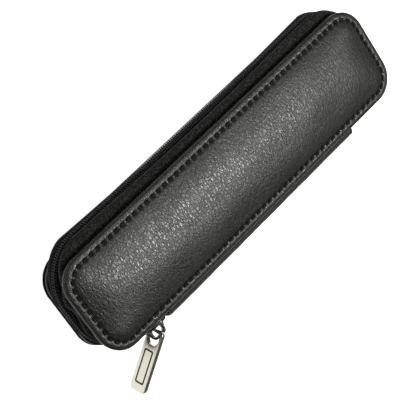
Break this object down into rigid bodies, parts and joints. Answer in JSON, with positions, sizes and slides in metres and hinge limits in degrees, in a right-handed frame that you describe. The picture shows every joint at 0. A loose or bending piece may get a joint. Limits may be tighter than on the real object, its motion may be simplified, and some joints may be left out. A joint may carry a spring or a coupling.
{
  "type": "fountain pen case",
  "caption": "Slim zip-around case in padded black leather that opens like a book, with elastic pen loops inside and a metal puller on the zip slider.",
  "frame": {"origin": "centre of the flat patch under the back cover that the case rests on", "axes": "+X along the case away from the slider's end, +Y towards the long zip side, +Z out of the front cover"},
  "size_m": [0.155, 0.0632, 0.022],
  "materials": {
    "leather": "black pebble-grained leather, semi-gloss",
    "foam": "grey closed-cell foam, matte",
    "board": "grey-brown pressed fibre board, matte",
    "lining_cloth": "fine black woven lining, matte",
    "zip_tape": "black herringbone zip tape, matte",
    "zip_coil": "black nylon coil, satin",
    "thread": "black twisted polyester thread",
    "elastic": "black ribbed elastic webbing",
    "slider_metal": "black-nickel plated, glossy",
    "puller_metal": "satin nickel plate",
    "enamel": "black enamel fill"
  },
  "bodies": {
    "back_half": {"back_cover_leather": "leather", "back_foam_pad": "foam", "back_stiffener_board": "board", "back_lining": "lining_cloth", "back_cover_thread": "thread", "back_edge_welt": "leather", "back_zip_tape": "zip_tape", "back_zip_coil": "zip_coil", "pen_loop_band": "elastic", "pen_loop_seam_1": "thread", "pen_loop_seam_2": "thread", "pen_loop_seam_3": "thread"},
    "spine": {"spine_leather": "leather", "spine_lining": "lining_cloth", "near_tape_tail_back": "zip_tape", "near_coil_tail_back": "zip_coil", "near_tape_tail_front": "zip_tape", "near_coil_tail_front": "zip_coil", "far_tape_tail_back": "zip_tape", "far_coil_tail_back": "zip_coil", "far_tape_tail_front": "zip_tape", "far_coil_tail_front": "zip_coil", "top_stop_front": "slider_metal", "top_stop_back": "slider_metal", "bottom_stop": "slider_metal"},
    "front_half": {"front_cover_leather": "leather", "front_foam_pad": "foam", "front_stiffener_board": "board", "front_lining": "lining_cloth", "front_cover_thread": "thread", "front_edge_welt": "leather", "front_zip_tape": "zip_tape", "front_zip_coil": "zip_coil"},
    "slider": {"slider_body": "slider_metal", "slider_bail": "slider_metal"},
    "puller": {"puller_plate": "puller_metal", "puller_inlay": "enamel"}
  },
  "joints": [
    {"name": "spine_fold", "type": "hinge", "parent": "back_half", "child": "spine", "pos_m": [0, -0.0198, 0.0028], "axis": [1, 0, 0], "range_deg": [0, 90]},
    {"name": "cover_fold", "type": "hinge", "parent": "spine", "child": "front_half", "pos_m": [0, -0.0198, 0.0192], "axis": [1, 0, 0], "range_deg": [0, 90]},
    {"name": "slider_travel", "type": "slide", "parent": "spine", "child": "slider", "axis": [-1, 0, 0], "range_m": [0, 0.003]},
    {"name": "puller_swing", "type": "hinge", "parent": "slider", "child": "puller", "pos_m": [-0.0553, -0.0246, 0.011], "axis": [0, -0.4067, 0.9135], "range_deg": [-35, 120]}
  ],
  "couplings": [
    {"joint": "cover_fold", "follows": "spine_fold", "ratio": 1}
  ]
}
